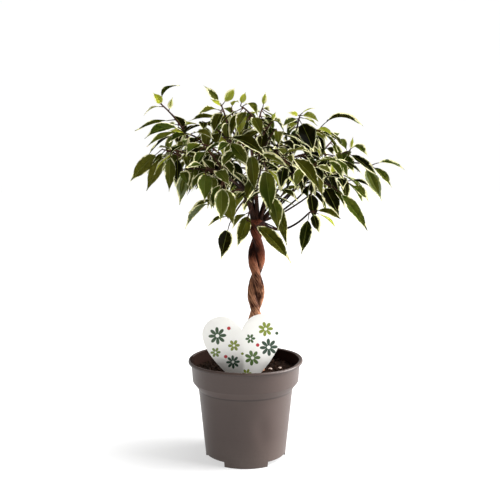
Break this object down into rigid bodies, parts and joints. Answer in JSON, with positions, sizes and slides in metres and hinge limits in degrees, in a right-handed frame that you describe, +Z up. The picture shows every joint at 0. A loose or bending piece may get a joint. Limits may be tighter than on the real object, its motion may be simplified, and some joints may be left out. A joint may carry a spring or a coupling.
{
  "type": "weeping fig in a nursery pot",
  "caption": "Small weeping fig tree with a twisted trunk, cream-edged drooping leaves and a heart label, in a plain plastic nursery pot.",
  "frame": {"origin": "centre of the underside of the pot, on the plane that it stands on", "axes": "+Z up along the axis of the pot; -Y is the front, where the label stands; +X is to the right as seen from the front"},
  "size_m": [0.277, 0.2347, 0.3865],
  "materials": {
    "pot_plastic": "moulded taupe plastic, low sheen",
    "compost": "loose dark peat, dull",
    "bark": "smooth reddish brown bark, dull",
    "label_sheet": "white printed sheet, satin",
    "leaf": "glossy dark green leaf with a cream edge"
  },
  "bodies": {
    "root": {"pot": "pot_plastic", "soil": "compost", "twisted_trunk": "bark", "plant_label": "label_sheet", "leafy_shoot_01": "leaf", "leafy_shoot_02": "leaf", "leafy_shoot_03": "leaf", "leafy_shoot_04": "leaf", "leafy_shoot_05": "leaf", "leafy_shoot_06": "leaf", "leafy_shoot_07": "leaf", "leafy_shoot_08": "leaf", "leafy_shoot_09": "leaf", "leafy_shoot_10": "leaf", "leafy_shoot_11": "leaf", "leafy_shoot_12": "leaf", "leafy_shoot_13": "leaf", "leafy_shoot_14": "leaf", "leafy_shoot_15": "leaf", "leafy_shoot_16": "leaf", "leafy_shoot_17": "leaf", "leafy_shoot_18": "leaf", "leafy_shoot_19": "leaf", "leafy_shoot_20": "leaf", "leafy_shoot_21": "leaf", "leafy_shoot_22": "leaf", "leafy_shoot_23": "leaf", "leafy_shoot_24": "leaf", "leafy_shoot_25": "leaf", "leafy_shoot_26": "leaf", "leafy_shoot_27": "leaf", "leafy_shoot_28": "leaf", "leafy_shoot_29": "leaf", "leafy_shoot_30": "leaf", "leafy_shoot_31": "leaf", "leafy_shoot_32": "leaf", "leafy_shoot_33": "leaf", "leafy_shoot_34": "leaf", "leafy_shoot_35": "leaf", "leafy_shoot_36": "leaf", "leafy_shoot_37": "leaf", "leafy_shoot_38": "leaf", "leafy_shoot_39": "leaf", "leafy_shoot_40": "leaf", "leafy_shoot_41": "leaf", "leafy_shoot_42": "leaf", "leafy_shoot_43": "leaf", "leafy_shoot_44": "leaf", "leafy_shoot_45": "leaf", "leafy_shoot_46": "leaf", "leafy_shoot_47": "leaf", "leafy_shoot_48": "leaf", "leafy_shoot_49": "leaf", "leafy_shoot_50": "leaf", "leafy_shoot_51": "leaf", "leafy_shoot_52": "leaf"}
  },
  "joints": []
}
